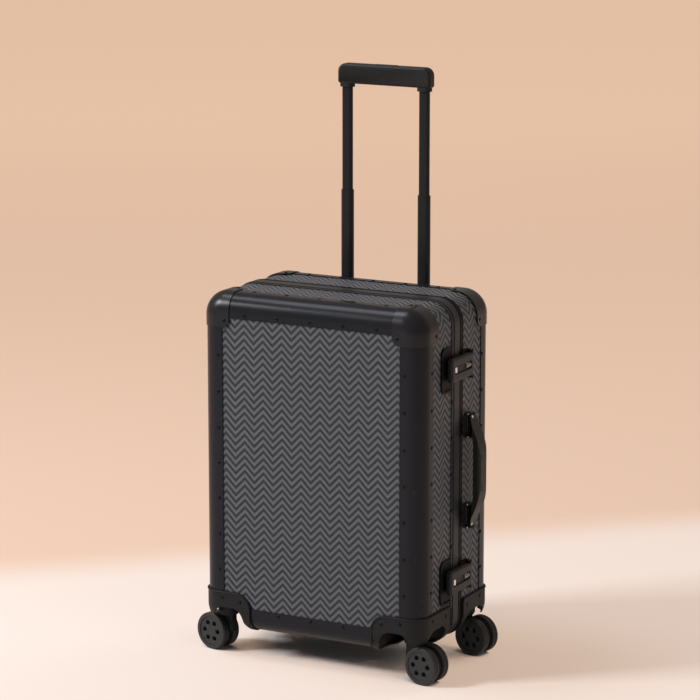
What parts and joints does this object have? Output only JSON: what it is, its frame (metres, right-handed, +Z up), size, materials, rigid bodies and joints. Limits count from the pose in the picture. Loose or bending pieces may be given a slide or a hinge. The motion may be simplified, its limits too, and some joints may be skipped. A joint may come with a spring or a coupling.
{
  "type": "wheeled suitcase",
  "caption": "Hard suitcase with coated canvas panels in black aluminium rails and frame, side latches with number dials, a telescopic trolley and swivel casters.",
  "frame": {"origin": "on the floor under the middle of the bounding box, with the trolley drawn out", "axes": "+X to the latch side, +Y to the back with the trolley, +Z up; the front face looks along -Y"},
  "size_m": [0.4779, 0.283, 0.9906],
  "materials": {
    "canvas": "coated twill in two charcoal tones",
    "rail": "matt black anodised",
    "frame": "satin black anodised",
    "guard": "fine moulded grain",
    "lining": "woven lining cloth",
    "seal": "matt",
    "hinge": "satin black",
    "pin": "turned steel",
    "latch": "satin black",
    "release": "polished",
    "dial": "fluted, satin",
    "handle": "pebbled black grain",
    "trolley_tube": "black anodised",
    "trolley_plastic": "fine moulded grain",
    "button": "semi-gloss",
    "strap": "woven webbing with moulded buckles",
    "fork": "fine moulded grain",
    "wheel": "satin tread and face"
  },
  "bodies": {
    "rear_half": {"rear_face_panel": "canvas", "rear_wall_band": "canvas", "rear_edge_rails": "rail", "rear_corner_caps": "rail", "rear_wheel_guards": "guard", "rear_frame": "frame", "rear_lining": "lining", "frame_seal": "seal", "hinge_leaves_rear": "hinge", "hinge_pins": "pin", "trolley_outer_tubes": "trolley_tube", "trolley_top_housing": "trolley_plastic", "trolley_foot_housing": "trolley_plastic", "handle_brackets": "latch", "handle_pins": "pin", "latch_bases": "latch", "latch_pins": "pin", "packing_straps": "strap"},
    "front_half": {"front_face_panel": "canvas", "front_wall_band": "canvas", "front_edge_rails": "rail", "front_corner_caps": "rail", "front_wheel_guards": "guard", "front_frame": "frame", "front_lining": "lining", "hinge_leaves_front": "hinge", "latch_keepers": "latch"},
    "trolley_lower_stage": {"trolley_lower_tubes": "trolley_tube"},
    "trolley_upper_stage": {"trolley_upper_tubes": "trolley_tube", "trolley_grip": "trolley_plastic"},
    "trolley_release_button": {"trolley_button": "button"},
    "side_handle_bow": {"side_handle": "handle"},
    "upper_lever": {"upper_latch_lever": "latch", "upper_dial_shaft": "pin"},
    "upper_release_catch": {"upper_latch_release": "release"},
    "upper_number_dial_1": {"upper_dial_1": "dial"},
    "upper_number_dial_2": {"upper_dial_2": "dial"},
    "upper_number_dial_3": {"upper_dial_3": "dial"},
    "lower_lever": {"lower_latch_lever": "latch", "lower_dial_shaft": "pin"},
    "lower_release_catch": {"lower_latch_release": "release"},
    "lower_number_dial_1": {"lower_dial_1": "dial"},
    "lower_number_dial_2": {"lower_dial_2": "dial"},
    "lower_number_dial_3": {"lower_dial_3": "dial"},
    "front_left_caster": {"front_left_fork": "fork", "front_left_axle": "pin"},
    "front_left_fore_roller": {"front_left_fore_wheel": "wheel"},
    "front_left_aft_roller": {"front_left_aft_wheel": "wheel"},
    "front_right_caster": {"front_right_fork": "fork", "front_right_axle": "pin"},
    "front_right_fore_roller": {"front_right_fore_wheel": "wheel"},
    "front_right_aft_roller": {"front_right_aft_wheel": "wheel"},
    "rear_left_caster": {"rear_left_fork": "fork", "rear_left_axle": "pin"},
    "rear_left_fore_roller": {"rear_left_fore_wheel": "wheel"},
    "rear_left_aft_roller": {"rear_left_aft_wheel": "wheel"},
    "rear_right_caster": {"rear_right_fork": "fork", "rear_right_axle": "pin"},
    "rear_right_fore_roller": {"rear_right_fore_wheel": "wheel"},
    "rear_right_aft_roller": {"rear_right_aft_wheel": "wheel"}
  },
  "joints": [
    {"name": "lid_hinge", "type": "hinge", "parent": "rear_half", "child": "front_half", "pos_m": [-0.21415, -0.0035, 0.338], "axis": [0, 0, -1], "range_deg": [0, 140]},
    {"name": "trolley_lower_slide", "type": "slide", "parent": "rear_half", "child": "trolley_lower_stage", "axis": [0, 0, 1], "range_m": [-0.176, 0]},
    {"name": "trolley_upper_slide", "type": "slide", "parent": "trolley_lower_stage", "child": "trolley_upper_stage", "axis": [0, 0, 1], "range_m": [-0.176, 0]},
    {"name": "trolley_button_press", "type": "slide", "parent": "trolley_upper_stage", "child": "trolley_release_button", "axis": [0, 0, -1], "range_m": [0, 0.004], "stiffness_N_per_m": 500},
    {"name": "side_handle_swing", "type": "hinge", "parent": "rear_half", "child": "side_handle_bow", "pos_m": [0.21625, 0.027, 0.334], "axis": [0, 0, 1], "range_deg": [0, 55]},
    {"name": "upper_lever_hinge", "type": "hinge", "parent": "rear_half", "child": "upper_lever", "pos_m": [0.21695, 0.02, 0.518], "axis": [0, 0, 1], "range_deg": [0, 100]},
    {"name": "upper_release_slide", "type": "slide", "parent": "upper_lever", "child": "upper_release_catch", "axis": [0, 1, 0], "range_m": [0, 0.005], "stiffness_N_per_m": 300},
    {"name": "upper_number_dial_1_turn", "type": "hinge", "parent": "upper_lever", "child": "upper_number_dial_1", "pos_m": [0.21525, -0.0005, 0.518], "axis": [0, 1, 0], "continuous": true},
    {"name": "upper_number_dial_2_turn", "type": "hinge", "parent": "upper_lever", "child": "upper_number_dial_2", "pos_m": [0.21525, 0.0055, 0.518], "axis": [0, 1, 0], "continuous": true},
    {"name": "upper_number_dial_3_turn", "type": "hinge", "parent": "upper_lever", "child": "upper_number_dial_3", "pos_m": [0.21525, 0.0115, 0.518], "axis": [0, 1, 0], "continuous": true},
    {"name": "lower_lever_hinge", "type": "hinge", "parent": "rear_half", "child": "lower_lever", "pos_m": [0.21695, 0.02, 0.157], "axis": [0, 0, 1], "range_deg": [0, 100]},
    {"name": "lower_release_slide", "type": "slide", "parent": "lower_lever", "child": "lower_release_catch", "axis": [0, 1, 0], "range_m": [0, 0.005], "stiffness_N_per_m": 300},
    {"name": "lower_number_dial_1_turn", "type": "hinge", "parent": "lower_lever", "child": "lower_number_dial_1", "pos_m": [0.21525, -0.0005, 0.157], "axis": [0, 1, 0], "continuous": true},
    {"name": "lower_number_dial_2_turn", "type": "hinge", "parent": "lower_lever", "child": "lower_number_dial_2", "pos_m": [0.21525, 0.0055, 0.157], "axis": [0, 1, 0], "continuous": true},
    {"name": "lower_number_dial_3_turn", "type": "hinge", "parent": "lower_lever", "child": "lower_number_dial_3", "pos_m": [0.21525, 0.0115, 0.157], "axis": [0, 1, 0], "continuous": true},
    {"name": "front_left_swivel", "type": "hinge", "parent": "front_half", "child": "front_left_caster", "pos_m": [-0.17855, -0.104, 0.0685], "axis": [0, 0, 1], "continuous": true},
    {"name": "front_left_fore_roll", "type": "hinge", "parent": "front_left_caster", "child": "front_left_fore_roller", "pos_m": [-0.20388, -0.09815, 0.032], "axis": [-0.225, -0.9744, 0], "continuous": true},
    {"name": "front_left_aft_roll", "type": "hinge", "parent": "front_left_caster", "child": "front_left_aft_roller", "pos_m": [-0.20388, -0.09815, 0.032], "axis": [-0.225, -0.9744, 0], "continuous": true},
    {"name": "front_right_swivel", "type": "hinge", "parent": "front_half", "child": "front_right_caster", "pos_m": [0.17745, -0.104, 0.0685], "axis": [0, 0, 1], "continuous": true},
    {"name": "front_right_fore_roll", "type": "hinge", "parent": "front_right_caster", "child": "front_right_fore_roller", "pos_m": [0.20302, -0.10874, 0.032], "axis": [0.1822, 0.9833, 0], "continuous": true},
    {"name": "front_right_aft_roll", "type": "hinge", "parent": "front_right_caster", "child": "front_right_aft_roller", "pos_m": [0.20302, -0.10874, 0.032], "axis": [0.1822, 0.9833, 0], "continuous": true},
    {"name": "rear_left_swivel", "type": "hinge", "parent": "rear_half", "child": "rear_left_caster", "pos_m": [-0.17855, 0.084, 0.0685], "axis": [0, 0, 1], "continuous": true},
    {"name": "rear_left_fore_roll", "type": "hinge", "parent": "rear_left_caster", "child": "rear_left_fore_roller", "pos_m": [-0.20398, 0.08941, 0.032], "axis": [-0.2079, -0.9781, 0], "continuous": true},
    {"name": "rear_left_aft_roll", "type": "hinge", "parent": "rear_left_caster", "child": "rear_left_aft_roller", "pos_m": [-0.20398, 0.08941, 0.032], "axis": [-0.2079, -0.9781, 0], "continuous": true},
    {"name": "rear_right_swivel", "type": "hinge", "parent": "rear_half", "child": "rear_right_caster", "pos_m": [0.17745, 0.084, 0.0685], "axis": [0, 0, 1], "continuous": true},
    {"name": "rear_right_fore_roll", "type": "hinge", "parent": "rear_right_caster", "child": "rear_right_fore_roller", "pos_m": [0.20297, 0.07904, 0.032], "axis": [0.1908, 0.9816, 0], "continuous": true},
    {"name": "rear_right_aft_roll", "type": "hinge", "parent": "rear_right_caster", "child": "rear_right_aft_roller", "pos_m": [0.20297, 0.07904, 0.032], "axis": [0.1908, 0.9816, 0], "continuous": true}
  ]
}
